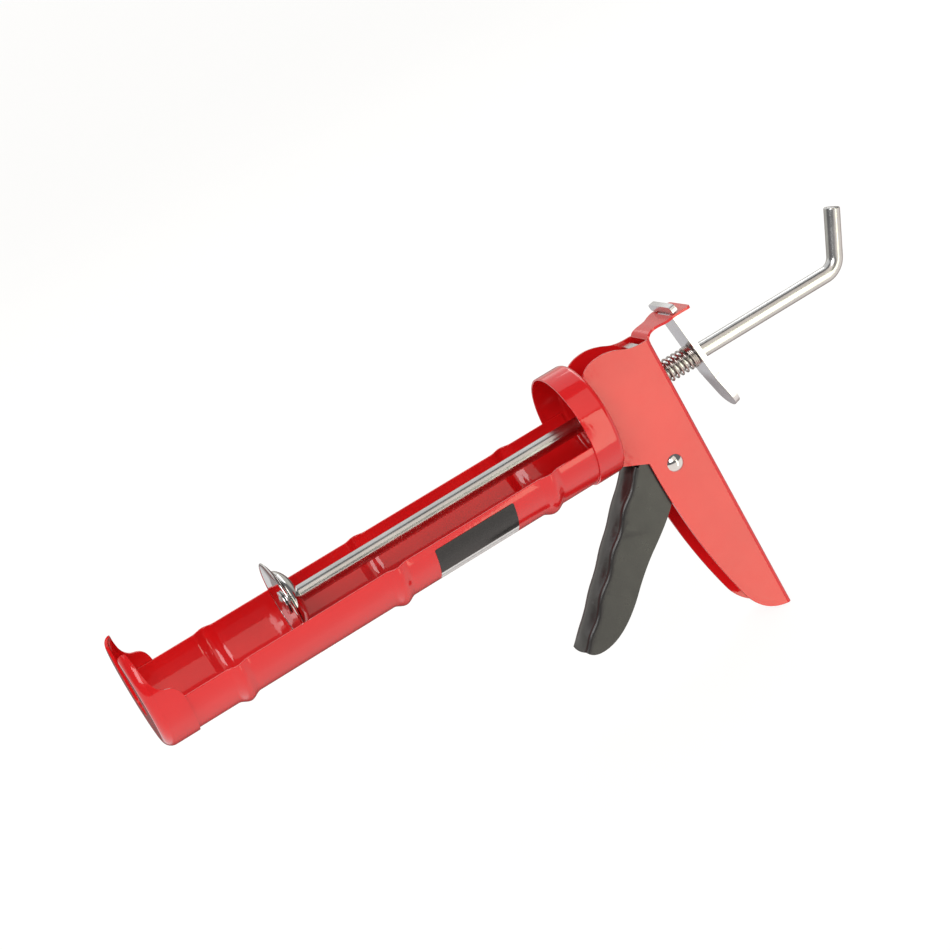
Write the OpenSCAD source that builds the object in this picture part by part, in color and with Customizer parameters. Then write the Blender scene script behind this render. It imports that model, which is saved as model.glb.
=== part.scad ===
// Cradle caulking gun for a standard sealant cartridge.
// +X runs forward along the plunger rod towards the nozzle, +Y to the gun's left, +Z up.
// The origin is on the rod's axis, in the plane of the collar's front rim.

/* [Cradle] */
// Inner radius of the half-round cradle that the cartridge lies in
cradle_r = 25.4; // [24.8:0.1:26]
// Sheet thickness of the cradle, the collar's wall and the cap's wall
cradle_sheet = 0.9; // [0.8:0.1:1.1]
// Height of the cradle's two rims above the rod's axis
rim_z = -1.4; // [-4:0.2:0]
// Angle by which the cradle and its cap sit turned in the collar, in degrees
cradle_turn = 5.5; // [0:0.5:10]
// Distance from the collar's front rim to the front cap's outer face
front_x = 221; // [216:0.5:228]
// Place of the first pressed rib, ahead of the collar
rib_first = 23.3; // [18:0.1:30]
// Distance from one rib to the next
rib_pitch = 78.4; // [70:0.1:80]
// Number of pressed ribs
rib_count = 3; // [1:1:3]
// How far a rib stands out of the cradle
rib_height = 1.9; // [1:0.1:2.2]
// Length of a rib along the cradle
rib_width = 11; // [8:0.5:14]

/* [Collar and cap] */
// Depth of the collar behind its front rim
collar_depth = 14; // [12:0.5:18]
// Thickness of the collar's back plate and of the cap's front plate
end_plate = 1.2; // [1:0.1:1.6]
// Radius of the pressed edge between wall and end plate
press_r = 2.6; // [2:0.1:3]
// Radius of the pressed edge between the front cap's wall and its plate
cap_press_r = 4.5; // [3.5:0.1:4.8]
// Depth of the front cap
cap_depth = 15.9; // [12:0.1:20]
// Half the width of the nozzle notch in the front plate
notch_r = 10.5; // [9:0.5:11]
// Height of the cap's two horns above the rod's axis
horn_z = 23.4; // [18:0.1:24]

/* [Handle frame] */
// Width of the folded handle frame
frame_w = 20; // [19.6:0.1:21]
// Sheet thickness of the handle frame
frame_sheet = 1.2; // [1:0.1:1.2]
// Lean of the handle's spine, top forward, in degrees
spine_lean = 3.35; // [2.5:0.05:4]
// Place of the spine's top edge, behind the collar's front rim
spine_x = -51.3; // [-51.5:0.1:-50.5]
// Place of the tongue's rear edge
tongue_end_x = -75; // [-78:0.5:-72]

/* [Trigger and drive] */
// Place of the trigger's pivot along the gun
pivot_x = -37; // [-38:0.1:-36]
// Height of the trigger's pivot
pivot_z = -36; // [-37:0.1:-35]
// Radius of the pivot rivet's shank
pivot_r = 2.5; // [2:0.1:3]
// Width of the folded trigger
trigger_w = 16.4; // [15.8:0.1:16.4]
// Sheet thickness of the trigger
trigger_sheet = 1.2; // [1:0.1:1.4]
// Height of one finger wave on the trigger's grip
wave_height = 0.7; // [0.4:0.1:1.3]
// Thickness of one drive plate
drive_plate_t = 1.3; // [1.2:0.1:1.3]
// Number of turns in the drive spring
drive_turns = 8; // [6:1:9]

/* [Rod and plunger] */
// Radius of the plunger rod
rod_r = 3.8; // [3.6:0.1:3.9]
// Place of the plunger's rim along the gun, at mid stroke
plunger_x = 147.6; // [120:0.1:160]
// Radius of the plunger disc
plunger_r = 20; // [18:0.5:22]
// Place of the corner where the rod's axis and the hook's axis meet
hook_x = -152; // [-156:1:-150]
// Length of the hook beyond that corner
hook_len = 28.6; // [24:0.2:34]
// Angle through which the rod is bent to make the hook, in degrees
hook_angle = 68; // [60:1:80]

/* [Release lever] */
// Thickness of the release lever
lever_t = 2.8; // [2:0.1:2.9]
// Width of the release lever
lever_w = 14.4; // [12:0.1:15]
// Width of the lever's head above the tongue
head_w = 23; // [21:0.5:25]
// Lean of the lever, top forward, in degrees
lever_lean = 10.75; // [10:0.25:11]
// Place of the lever's front face on the rod's axis
lever_x = -70.4; // [-71:0.1:-70]

/* [Hidden] */
$fn = 64;

red = [0.80, 0.10, 0.09];
black = [0.13, 0.13, 0.13];
zinc = [0.75, 0.76, 0.78];
chrome = [0.86, 0.86, 0.87];

seam_gap = 0.05;                       // between two sheets that lie on each other
axial_gap = 0.15;                      // between the turning rod and the plunger
fit_gap = 0.05;                        // radial clearance of a shaft that turns
slide_gap = 0.35;                      // radial clearance round the sliding rod
cradle_out_r = cradle_r + cradle_sheet;
shell_in_r = cradle_out_r + seam_gap;
shell_out_r = shell_in_r + cradle_sheet;
rod_hole_r = rod_r + slide_gap;
frame_half = frame_w / 2;
frame_in_half = frame_half - frame_sheet;
spine_top_z = 20.2;
butt_z = -124;
collar_back_x = -collar_depth;
frame_front_x = collar_back_x - seam_gap;

// Quadratic curve from a to c, drawn towards b, without its last point
function curve(a, b, c, n = 8) = [
    for (i = [0 : n - 1]) let (t = i / n) (1 - t) * (1 - t) * a + 2 * t * (1 - t) * b + t * t * c
];

// Points on an ellipse about (cx, cy), from angle a0 to a1
function arc_points(cx, cy, rx, ry, a0, a1, n = 8) = [
    for (i = [0 : n]) let (a = a0 + (a1 - a0) * i / n) [cx + rx * cos(a), cy + ry * sin(a)]
];

// Extrudes an outline of (x, z) points to width w, centred on y = 0
module across(w) {
    rotate([90, 0, 0]) linear_extrude(height = w, center = true) children();
}

// Extrudes an outline of (y, z) points along +X
module along(len) {
    rotate([90, 0, 90]) linear_extrude(height = len) children();
}

// Turns an outline of (r, x) points about the X axis
module turned(angle = 360) {
    rotate([0, 90, 0]) rotate_extrude(angle = angle) children();
}

// Cylinder along +X
module x_rod(r, len) {
    rotate([0, 90, 0]) cylinder(r = r, h = len);
}

// Cylinder along Y, centred on y = 0
module y_pin(r, len) {
    rotate([90, 0, 0]) cylinder(r = r, h = len, center = true);
}

// Wire wound round the X axis from x0 to x1. Each turn leans by tilt0 at x0 and by tilt1 at x1.
module coil(x0, x1, mean_r, wire_r, turns, tilt0 = 0, tilt1 = 0, steps = 20, sides = 8) {
    n = turns * steps;
    rings = [
        for (i = [0 : n]) let (t = i / n, a = 360 * turns * t, tilt = tilt0 + (tilt1 - tilt0) * t)
            [for (k = [0 : sides - 1]) let (b = 360 * k / sides, r = mean_r + wire_r * cos(b))
                [x0 + (x1 - x0) * t + wire_r * sin(b) + tilt * r * cos(a), r * sin(a), r * cos(a)]]
    ];
    points = [for (ring = rings) for (p = ring) p];
    walls = [
        for (i = [0 : n - 1]) for (k = [0 : sides - 1])
            let (a = i * sides + k, b = i * sides + (k + 1) % sides) [a, b, b + sides, a + sides]
    ];
    first_cap = [for (k = [sides - 1 : -1 : 0]) k];
    last_cap = [for (k = [0 : sides - 1]) n * sides + k];
    polyhedron(points = points, faces = concat(walls, [first_cap], [last_cap]), convexity = 10);
}

// ---- Cradle, collar and front cap ----

// Height of the pressed ribs above the plain cradle at x
function rib_at(x) = rib_height * (1 + cos(360 * x / rib_width)) / 2;

// One rib's outline at radius r, from its rear end to its front end
function rib_points(r, centre, n = 8) = [
    for (i = [0 : n]) let (x = rib_width * (i / n - 0.5)) [r + rib_at(x), centre + x]
];

// Half-round trough, pressed outward in three ribs
module cradle() {
    rear_x = collar_back_x + end_plate + seam_gap;
    end_x = front_x - end_plate - seam_gap;
    centres = [for (i = [0 : rib_count - 1]) rib_first + rib_pitch * i];
    outer = [for (c = centres) for (p = rib_points(cradle_out_r, c)) p];
    inner = [for (i = [rib_count - 1 : -1 : 0]) let (pts = rib_points(cradle_r, centres[i]))
        for (k = [len(pts) - 1 : -1 : 0]) pts[k]];
    // Both ends stop short of the pressed edges that they seat against
    rear_end = rear_x + press_r;
    front_end = end_x - cap_press_r;
    color(red) rotate([-cradle_turn, 0, 0]) intersection() {
        turned() polygon(concat(
            [[cradle_r, rear_end], [cradle_out_r, rear_end]], outer,
            [[cradle_out_r, front_end], [cradle_r, front_end]], inner
        ));
        translate([-50, -50, rim_z - 60]) cube([300, 100, 60]);
    }
}

// Section of the collar as (r, x): wall, pressed edge and back plate
module collar_outline() {
    back = collar_back_x;
    polygon(concat(
        [[shell_in_r, 0], [shell_out_r, 0]],
        arc_points(shell_out_r - press_r, back + press_r, press_r, press_r, 0, -90),
        [[0, back], [0, back + end_plate]],
        arc_points(shell_out_r - press_r, back + press_r, shell_in_r - shell_out_r + press_r,
            press_r - end_plate, -90, 0)
    ));
}

// Full ring with a closed back plate; the rod passes through the plate
module collar() {
    color(red) difference() {
        turned() collar_outline();
        translate([collar_back_x - 1, 0, 0]) x_rod(rod_hole_r, end_plate + 2);
        rivet_places() translate([collar_back_x - 1, 0, 0]) x_rod(rivet_r, end_plate + 2);
    }
}

cap_back_x = front_x - cap_depth;

// Section of the front cap as (r, x): wall, pressed edge and front plate
module cap_outline() {
    arc_x = front_x - cap_press_r;
    polygon(concat(
        [[shell_in_r, cap_back_x], [shell_out_r, cap_back_x]],
        arc_points(shell_out_r - cap_press_r, arc_x, cap_press_r, cap_press_r, 0, 90),
        [[0, front_x], [0, front_x - end_plate]],
        arc_points(shell_out_r - cap_press_r, arc_x, shell_in_r - shell_out_r + cap_press_r,
            cap_press_r - end_plate, 90, 0)
    ));
}

// Side view of what is left of the cap's wall: a low shelf that sweeps up into two horns
module cap_side() {
    polygon(concat(
        [[front_x + 1, -40], [cap_back_x, -40]],
        curve([cap_back_x, rim_z], [cap_back_x + 0.8, 4.8], [cap_back_x + 5.4, 5.8]),
        curve([cap_back_x + 5.4, 5.8], [cap_back_x + 9.2, 6.8], [cap_back_x + 10.5, 12]),
        curve([cap_back_x + 10.5, 12], [cap_back_x + 11.3, 16.5], [cap_back_x + 11.6, horn_z - 1.2]),
        [[cap_back_x + 12.3, horn_z], [front_x + 1, horn_z]]
    ));
}

// Nozzle notch, open upward and slightly wider between the horns' tips
module notch_outline() {
    half = [[notch_r, 0], [notch_r + 0.4, 17], [notch_r + 1, horn_z - 1.6], [notch_r + 2.2, horn_z],
        [notch_r + 2.2, 40]];
    mirrored = [for (i = [len(half) - 1 : -1 : 0]) [-half[i][0], half[i][1]]];
    circle(r = notch_r);
    polygon(concat(half, mirrored));
}

// Pressed cap that wraps the cradle's front end and holds the cartridge by its shoulder
module front_cap() {
    color(red) rotate([-cradle_turn, 0, 0]) difference() {
        intersection() {
            turned() cap_outline();
            across(80) cap_side();
        }
        translate([cap_back_x - 1, 0, 0]) along(cap_depth + 3) notch_outline();
    }
}

// Plain sticker on the cradle's left side
module label() {
    label_from = 43;
    label_len = 40.4;
    film = 0.2;
    top_angle = 15;
    span_angle = 48;
    color(black) rotate([-top_angle - span_angle, 0, 0]) translate([label_from, 0, 0])
        rotate([0, 90, 0]) rotate([0, 0, 90]) rotate_extrude(angle = span_angle)
            translate([cradle_out_r + 0.02, 0]) square([film, label_len]);
}

// ---- Handle frame and its rivets ----

rivet_r = 1.6;
rivet_y = 5.6;
rivet_z = 13.2;

// The four places where the frame's tabs are riveted to the collar
module rivet_places() {
    for (y = [-rivet_y, rivet_y]) for (z = [-rivet_z, rivet_z]) translate([0, y, z]) children();
}

// Side view of the handle, forward edge curved for the trigger
module handle_side() {
    spine_bottom_x = spine_x - (spine_top_z - butt_z) * tan(spine_lean);
    polygon(concat(
        curve([frame_front_x, 17], [frame_front_x - 1.2, 24.6], [-26, 25]),
        curve([-26, 25], [-31.5, 25.2], [-38, 22]),
        curve([-38, 22], [-43, 19.7], [spine_x + 0.6, spine_top_z]),
        [[spine_x, spine_top_z], [spine_bottom_x - 2, butt_z]],
        curve([spine_bottom_x, butt_z], [-44.6, -122.5], [-40, -108]),
        curve([-40, -108], [-28, -72], [-25.9, -30.5]),
        [[-25.9, -30.5], [frame_front_x, -24.6]]
    ));
}

// U section of the folded sheet, its back on x = 0 and its sides running forward
module frame_section() {
    fold_r = 2.4;
    reach = 48;
    difference() {
        union() {
            translate([fold_r, -frame_half]) square([reach, frame_w]);
            translate([0, fold_r - frame_half]) square([fold_r, frame_w - 2 * fold_r]);
            for (s = [-1, 1]) translate([fold_r, s * (frame_half - fold_r)]) circle(r = fold_r);
        }
        translate([fold_r, -frame_in_half]) square([reach + 1, 2 * frame_in_half]);
        translate([frame_sheet, fold_r - frame_half])
            square([fold_r, frame_w - 2 * fold_r]);
        for (s = [-1, 1]) translate([fold_r, s * (frame_half - fold_r)])
            circle(r = fold_r - frame_sheet);
    }
}

tongue_half = 11;

// Tongue's middle line in side view
tongue_line = [[spine_x + 0.6, 18.6], [spine_x + 0.5, 20], [-53, 21.8], [-56, 22.4], [-61, 22.6],
    [-66, 23.7], [tongue_end_x, 23.6]];

// Plan view of the tongue: waisted behind the fold, full width at its rear end
module tongue_plan() {
    side = concat(
        [[-48, 8.6], [-51.8, 8.6]],
        curve([-51.8, 8.6], [-53.5, 7.6], [-56, 7.6], 4),
        curve([-56, 7.6], [-58.4, 7.6], [-60.4, 9.4], 4),
        curve([-60.4, 9.4], [-62.4, tongue_half], [-65, tongue_half], 4),
        curve([tongue_end_x + 2, tongue_half], [tongue_end_x, tongue_half],
            [tongue_end_x, tongue_half - 2], 4),
        [[tongue_end_x, tongue_half - 2]]
    );
    mirrored = [for (i = [len(side) - 1 : -1 : 0]) [side[i][0], -side[i][1]]];
    polygon(concat(side, mirrored));
}

// Tongue that carries the release lever in its slot
module tongue() {
    half = frame_sheet / 2;
    top = [for (p = tongue_line) p + [half, half]];
    bottom = [for (i = [len(tongue_line) - 1 : -1 : 0]) tongue_line[i] - [half, half]];
    slot_front_x = -65.1;
    slot_rear_x = -69.4;
    slot_half = lever_w / 2 + 0.4;
    difference() {
        intersection() {
            across(2 * tongue_half + 2) polygon(concat(top, bottom));
            linear_extrude(height = 60) tongue_plan();
        }
        translate([slot_rear_x, -slot_half, 10])
            cube([slot_front_x - slot_rear_x, 2 * slot_half, 20]);
    }
}

// Folded sheet: two side plates, the spine, the tongue and four riveted tabs
module handle_frame() {
    tab_h = 8;
    tab_w = 6.2;
    color(red) difference() {
        union() {
            intersection() {
                across(frame_w) handle_side();
                translate([spine_x, 0, spine_top_z]) rotate([0, spine_lean, 0])
                    translate([0, 0, -160]) linear_extrude(height = 175) frame_section();
            }
            tongue();
            for (side = [0, 1]) mirror([0, side, 0]) for (z = [-rivet_z, rivet_z])
                translate([frame_front_x - frame_sheet, frame_in_half - tab_w, z - tab_h / 2])
                    cube([frame_sheet, tab_w + 0.4, tab_h]);
        }
        translate([spine_x - 5, 0, 0]) x_rod(rod_hole_r, 12);
        translate([pivot_x, 0, pivot_z]) y_pin(pivot_r + 0.02, frame_w + 2);
        rivet_places() translate([frame_front_x - 3, 0, 0]) x_rod(rivet_r, 4);
    }
}

// Four rivets that hold the frame's tabs to the collar's back plate
module collar_rivets() {
    head_r = 2.8;
    head_t = 0.9;
    grip = end_plate + frame_sheet + seam_gap;
    rear_x = frame_front_x - frame_sheet;
    color(red) rivet_places() {
        translate([rear_x, 0, 0]) x_rod(rivet_r - 0.02, grip);
        translate([rear_x - head_t, 0, 0]) x_rod(head_r, head_t);
        translate([rear_x + grip, 0, 0]) x_rod(head_r, head_t);
    }
}

// ---- Trigger and its pivot ----

// Domed rivet head on the plane y = 0, standing out along +Y
module rivet_head(r, height) {
    sphere_r = (r * r + height * height) / (2 * height);
    rotate([-90, 0, 0]) intersection() {
        translate([0, 0, height - sphere_r]) sphere(r = sphere_r);
        cylinder(r = r + 1, h = height + 1);
    }
}

washer_t = 0.8;

// Rivet through the frame and the trigger, domed at both ends
module pivot_rivet() {
    color(chrome) translate([pivot_x, 0, pivot_z]) {
        translate([0, -washer_t / 2, 0]) y_pin(pivot_r, frame_w + washer_t);
        translate([0, frame_half, 0]) rivet_head(4.1, 2.1);
        mirror([0, 1, 0]) translate([0, frame_half + washer_t, 0]) rivet_head(3.7, 1.5);
    }
}

// Washer under the rivet's peened end
module pivot_washer() {
    color(zinc) translate([pivot_x, -frame_half - washer_t / 2, pivot_z]) difference() {
        y_pin(5.2, washer_t);
        y_pin(pivot_r + 0.02, washer_t + 2);
    }
}

grip_top = [-19.2, -28];
grip_tip = [39.5, -91.2];
grip_run = norm(grip_tip - grip_top);
grip_dir = (grip_tip - grip_top) / grip_run;
grip_out = [-grip_dir[1], grip_dir[0]];
wave_len = 20;
wave_start = 20;

// Finger waves: point on the grip's front edge, s along it from its top, inset by d
function grip_at(s, d = 0) = grip_top + grip_dir * s
    + grip_out * (wave_height * cos(360 * (s - wave_start) / wave_len) - d);

// Points of the grip's front edge from its tip to its top
function grip_edge(d, from, to, n = 44) = [
    for (i = [0 : n]) grip_at(from + (to - from) * i / n, d)
];

ear_tip = [-49.2, -8];
ear_r = 1.4;

// Side view of the trigger's side plates, from the ears down to the grip's tip
module trigger_side() {
    polygon(concat(
        grip_edge(0, grip_run, 0),
        [[-20.2, -25.4], [-30, -23.6], [ear_tip[0] + ear_r, -12]],
        [[ear_tip[0] + ear_r, ear_tip[1]], [ear_tip[0] - ear_r, ear_tip[1]]],
        curve([ear_tip[0] - ear_r, -12], [-49.5, -33], [-42.5, -43.5]),
        curve([-42.5, -43.5], [-38.8, -49.6], [-29.2, -49.9], 4),
        curve([-29.2, -49.9], [-26.4, -55.5], [-9.7, -67.4], 4),
        curve([-9.7, -67.4], [-1.6, -73.5], [6, -81.6], 4),
        curve([6, -81.6], [20.9, -96.5], [32.9, -95.4]),
        curve([32.9, -95.4], [37.5, -95], grip_tip, 4)
    ));
    translate(ear_tip) circle(r = ear_r);
}

// Space inside the folded trigger, behind the wavy grip face
module trigger_inside() {
    polygon(concat(
        grip_edge(trigger_sheet, grip_run + 8, -6),
        [[-60, -18], [-60, -110], [40, -110]]
    ));
    translate([-70, -24]) square([60, 30]);
}

// Folded trigger: wavy grip face, two side plates, and two ears that push the drive plates
module trigger() {
    color(black) difference() {
        across(trigger_w) trigger_side();
        across(trigger_w - 2 * trigger_sheet) trigger_inside();
        translate([pivot_x, 0, pivot_z]) y_pin(pivot_r + fit_gap, trigger_w + 2);
    }
}

// ---- Drive plates and springs ----

drive_rear_x = -47.55;
drive_w = 16.8;
drive_low_z = -9.5;
drive_top_z = 18.7;
drive_count = 3;

// One grip plate of the stack, counted from the rear
module drive_plate(i) {
    corner = 2.5;
    x = drive_rear_x + i * (drive_plate_t + seam_gap);
    color(zinc) difference() {
        translate([x, 0, 0]) along(drive_plate_t) union() {
            translate([corner - drive_w / 2, drive_low_z])
                square([drive_w - 2 * corner, drive_top_z - drive_low_z]);
            translate([-drive_w / 2, drive_low_z + corner])
                square([drive_w, drive_top_z - drive_low_z - 2 * corner]);
            for (y = [corner - drive_w / 2, drive_w / 2 - corner])
                for (z = [drive_low_z + corner, drive_top_z - corner])
                    translate([y, z]) circle(r = corner);
        }
        translate([x - 1, 0, 0]) x_rod(rod_hole_r, drive_plate_t + 2);
    }
}

module drive_plate_rear() { drive_plate(0); }
module drive_plate_middle() { drive_plate(1); }
module drive_plate_front() { drive_plate(2); }

// Spring round the rod that returns the drive plates and the trigger
module drive_spring() {
    wire = 0.65;
    front_of_plates = drive_rear_x + drive_count * (drive_plate_t + seam_gap);
    color(zinc) coil(front_of_plates + wire + 0.1, frame_front_x - wire - 0.1, 6.1, wire, drive_turns);
}

// Spring round the rod that pushes the release lever back
module brake_spring() {
    wire = 0.5;
    spine_out_x = spine_x - spine_top_z * tan(spine_lean);
    tilt0 = tan(spine_lean);
    tilt1 = tan(lever_lean);
    color(chrome) coil(spine_out_x - wire - 0.15, lever_x + wire + 0.15, 5.15, wire, 8, tilt0, tilt1);
}

// ---- Rod and plunger ----

bend_r = 9;
stud_r = 2.5;
plunger_washer_t = 0.8;
disc_t = 1.2;
disc_seat_x = plunger_x - 2.4;

// Smooth rod: peened end in front, hook behind, slightly swollen where it is bent
module rod() {
    bend_run = bend_r * tan(hook_angle / 2);
    shoulder_x = disc_seat_x - axial_gap;
    head_x = disc_seat_x + disc_t + axial_gap + plunger_washer_t;
    chamfer = 0.6;
    lap = 0.3;
    swell = 0.03;
    leg = hook_len - bend_run - chamfer;
    color(chrome) {
        translate([hook_x + bend_run - lap, 0, 0]) x_rod(rod_r, shoulder_x - hook_x - bend_run + lap);
        translate([shoulder_x - 1, 0, 0]) x_rod(stud_r, head_x - shoulder_x + 1);
        translate([head_x, 0, 0]) rotate([0, 0, -90]) rivet_head(4, 1.2);
        translate([hook_x + bend_run, 0, bend_r]) rotate([90, 0, 0]) rotate([0, 0, -90 - hook_angle])
            rotate_extrude(angle = hook_angle) translate([bend_r, 0]) circle(r = rod_r + swell);
        translate([hook_x, 0, 0]) rotate([0, hook_angle - 90, 0]) translate([0, 0, bend_run]) {
            translate([0, 0, -lap]) cylinder(r = rod_r, h = leg + lap);
            translate([0, 0, leg]) cylinder(r1 = rod_r, r2 = rod_r - chamfer, h = chamfer);
        }
    }
}

// Dished front disc of the plunger, with a flared rim
module plunger_disc() {
    flat_r = 12.5;
    color(chrome) turned() polygon(concat(
        [[stud_r + fit_gap, disc_seat_x], [flat_r, disc_seat_x]],
        curve([flat_r, disc_seat_x], [plunger_r - 3, disc_seat_x + 0.2],
            [plunger_r, plunger_x - 0.5]),
        [[plunger_r, plunger_x - 0.5], [plunger_r - 0.2, plunger_x], [plunger_r - 0.9, plunger_x]],
        curve([plunger_r - 0.9, plunger_x], [plunger_r - 3.6, disc_seat_x + disc_t + 0.3],
            [flat_r, disc_seat_x + disc_t]),
        [[flat_r, disc_seat_x + disc_t], [stud_r + fit_gap, disc_seat_x + disc_t]]
    ));
}

// Domed steel cup that stiffens the disc from behind
module plunger_hub() {
    sheet = 1.1;
    dome_r = 14.6;
    depth = 5.4;
    base_x = disc_seat_x - 0.1;
    crown_x = base_x - depth;
    hole_r = rod_r + fit_gap;
    color(chrome) turned() polygon(concat(
        [[hole_r, crown_x], [5.2, crown_x]],
        curve([5.2, crown_x], [10.2, crown_x + 0.2], [13.2, crown_x + 3]),
        curve([13.2, crown_x + 3], [dome_r, base_x - 1.2], [dome_r, base_x - 0.2], 4),
        [[dome_r, base_x - 0.2], [dome_r, base_x], [13, base_x]],
        curve([13, base_x - 0.8], [9.6, crown_x + 0.2 + sheet], [5.2, crown_x + sheet]),
        [[5.2, crown_x + sheet], [hole_r, crown_x + sheet]]
    ));
}

// Washer under the rod's peened end
module plunger_washer() {
    x = disc_seat_x + disc_t + axial_gap;
    color(zinc) translate([x, 0, 0]) difference() {
        x_rod(5.6, plunger_washer_t);
        translate([-1, 0, 0]) x_rod(stud_r + 0.02, 3);
    }
}

// ---- Release lever ----

lever_bend_z = -11.8;
lever_tail_len = 19.4;
tail_lean = 6;
head_low_z = 25.1;
head_top_z = 28.6;

// Flat part of the lever with its head, in the lever's own plane
module lever_blade() {
    corner = 1.7;
    translate([-lever_w / 2, lever_bend_z]) square([lever_w, head_low_z - lever_bend_z + 0.5]);
    translate([-head_w / 2, head_low_z]) square([head_w, head_top_z - head_low_z - corner]);
    translate([corner - head_w / 2, head_low_z])
        square([head_w - 2 * corner, head_top_z - head_low_z]);
    for (s = [-1, 1]) translate([s * (head_w / 2 - corner), head_top_z - corner]) circle(r = corner);
}

// Thumb end of the lever, slightly narrower than the shank, with a fully round tip
module lever_tail() {
    half = lever_w / 2 - 0.4;
    translate([-half, half - lever_tail_len]) square([2 * half, lever_tail_len - half]);
    translate([0, half - lever_tail_len]) circle(r = half);
}

// Plated lever: hangs in the tongue's slot, grips the rod, and is pressed by the thumb
module release_lever() {
    color(zinc) difference() {
        translate([lever_x, 0, 0]) rotate([0, lever_lean, 0]) {
            translate([-lever_t, 0, 0]) along(lever_t) lever_blade();
            translate([-lever_t / 2, 0, lever_bend_z]) {
                y_pin(lever_t / 2, lever_w);
                rotate([0, tail_lean, 0]) translate([-lever_t / 2, 0, 0]) along(lever_t) lever_tail();
            }
        }
        translate([lever_x, 0, 0]) rotate([0, lever_lean, 0])
            translate([-lever_t - 1, 0, -lever_t / 2 * tan(lever_lean)]) x_rod(rod_r + 0.85, lever_t + 2);
    }
}

cradle();
front_cap();
collar();
label();
handle_frame();
collar_rivets();
pivot_rivet();
pivot_washer();
trigger();
drive_plate_front();
drive_plate_middle();
drive_plate_rear();
drive_spring();
rod();
plunger_disc();
plunger_hub();
plunger_washer();
release_lever();
brake_spring();
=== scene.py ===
import math

import bmesh
import bpy
import numpy as np
from mathutils import Matrix, Vector


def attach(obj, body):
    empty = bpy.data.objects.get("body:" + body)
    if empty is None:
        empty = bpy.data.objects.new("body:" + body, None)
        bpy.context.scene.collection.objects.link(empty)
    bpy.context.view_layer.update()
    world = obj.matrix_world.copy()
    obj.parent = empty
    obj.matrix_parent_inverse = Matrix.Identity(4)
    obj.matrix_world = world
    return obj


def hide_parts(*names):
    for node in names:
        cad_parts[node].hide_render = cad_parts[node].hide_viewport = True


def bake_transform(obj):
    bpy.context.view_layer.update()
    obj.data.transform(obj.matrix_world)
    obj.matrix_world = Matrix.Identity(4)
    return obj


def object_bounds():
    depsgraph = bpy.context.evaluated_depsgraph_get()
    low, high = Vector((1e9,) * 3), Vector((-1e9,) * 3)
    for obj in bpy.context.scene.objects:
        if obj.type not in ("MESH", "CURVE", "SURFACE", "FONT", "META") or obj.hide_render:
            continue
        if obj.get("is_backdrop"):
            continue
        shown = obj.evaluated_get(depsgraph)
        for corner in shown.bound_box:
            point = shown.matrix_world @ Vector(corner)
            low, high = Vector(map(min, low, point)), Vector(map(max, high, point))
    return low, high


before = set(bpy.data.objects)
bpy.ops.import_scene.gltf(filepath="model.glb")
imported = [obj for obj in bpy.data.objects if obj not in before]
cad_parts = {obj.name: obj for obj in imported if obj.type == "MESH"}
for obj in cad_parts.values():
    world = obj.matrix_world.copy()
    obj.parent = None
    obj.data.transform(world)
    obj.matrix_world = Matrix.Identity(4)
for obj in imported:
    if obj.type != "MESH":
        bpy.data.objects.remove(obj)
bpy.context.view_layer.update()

MM = 0.001

# ---------------------------------------------------------------- dimensions, mm, as in part.scad
SEAM_GAP = 0.05  # air between two parts that sit on each other

# cradle: its inner radius, rims' height, turn in the collar in degrees, and pressed ribs
CRADLE_R, CRADLE_SHEET, RIM_Z, TURN = 25.4, 0.9, -1.4, 5.5
RIBS, RIB_H, RIB_W = (23.3, 101.7, 180.1), 1.9, 11.0
CRADLE_OUT = CRADLE_R + CRADLE_SHEET

# collar and front cap: end plates, and the radii of the pressed edges between plate and wall
FRONT_X, COLLAR_DEPTH, END_PLATE, PRESS_R, CAP_PRESS_R = 221.0, 14.0, 1.2, 2.6, 4.5
CAP_BACK_X = FRONT_X - 15.9
NOTCH_R, HORN_Z = 10.5, 23.4
SHELL_IN = CRADLE_OUT + SEAM_GAP
SHELL_OUT = SHELL_IN + CRADLE_SHEET

# handle frame: half its width, its sheet and fold, and the spine, which leans
HALF, SHEET, FOLD_R = 10.0, 1.2, 2.4
SPINE_X, SPINE_TOP, BUTT_Z, LEAN = -51.3, 20.2, -124.0, math.tan(math.radians(3.35))
FRAME_FRONT = -COLLAR_DEPTH - SEAM_GAP
PIVOT, PIVOT_HOLE_R = (-37.0, -36.0), 2.55
RIVET_Y, RIVET_Z = 5.6, 13.2

# rod and plunger
ROD_R, ROD_HOLE, STUD_R = 3.8, 4.15, 2.5
PLUNGER_X, PLUNGER_R, DISC_T = 147.6, 20.0, 1.2
SEAT_X = PLUNGER_X - 2.4
WASHER_T, WASHER_GAP = 0.8, 0.15

# trigger: its grip runs from GRIP_TOP to GRIP_TIP, as (x, z)
TRIGGER_W, TRIGGER_SHEET = 16.4, 1.2
GRIP_TOP, GRIP_TIP = np.array([-19.2, -28.0]), np.array([39.5, -91.2])

# release lever: heights are measured along it from the rod's axis
LEVER_X, LEVER_T, LEVER_W, HEAD_W, LEVER_LEAN = -70.4, 2.8, 14.4, 23.0, math.radians(10.75)
LEVER_BEND, TAIL_LEN, TAIL_LEAN, HEAD_LOW, HEAD_TOP = -11.8, 19.4, math.radians(6), 25.1, 28.6

# label: where it lies along the cradle, and how far below the horizontal, in degrees
LABEL_X, LABEL_BELOW, LABEL_STRIP, LABEL_FILM = (43.0, 83.4), (15.0, 63.0), 48.5, 0.17

# mesh limits: points nearer than MERGE are one point, and a fold is bent in FOLD_CUTS steps
MERGE, CUT_REACH, SLIVER, FOLD_CUTS = 0.03, 0.02, 0.01, 8


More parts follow.
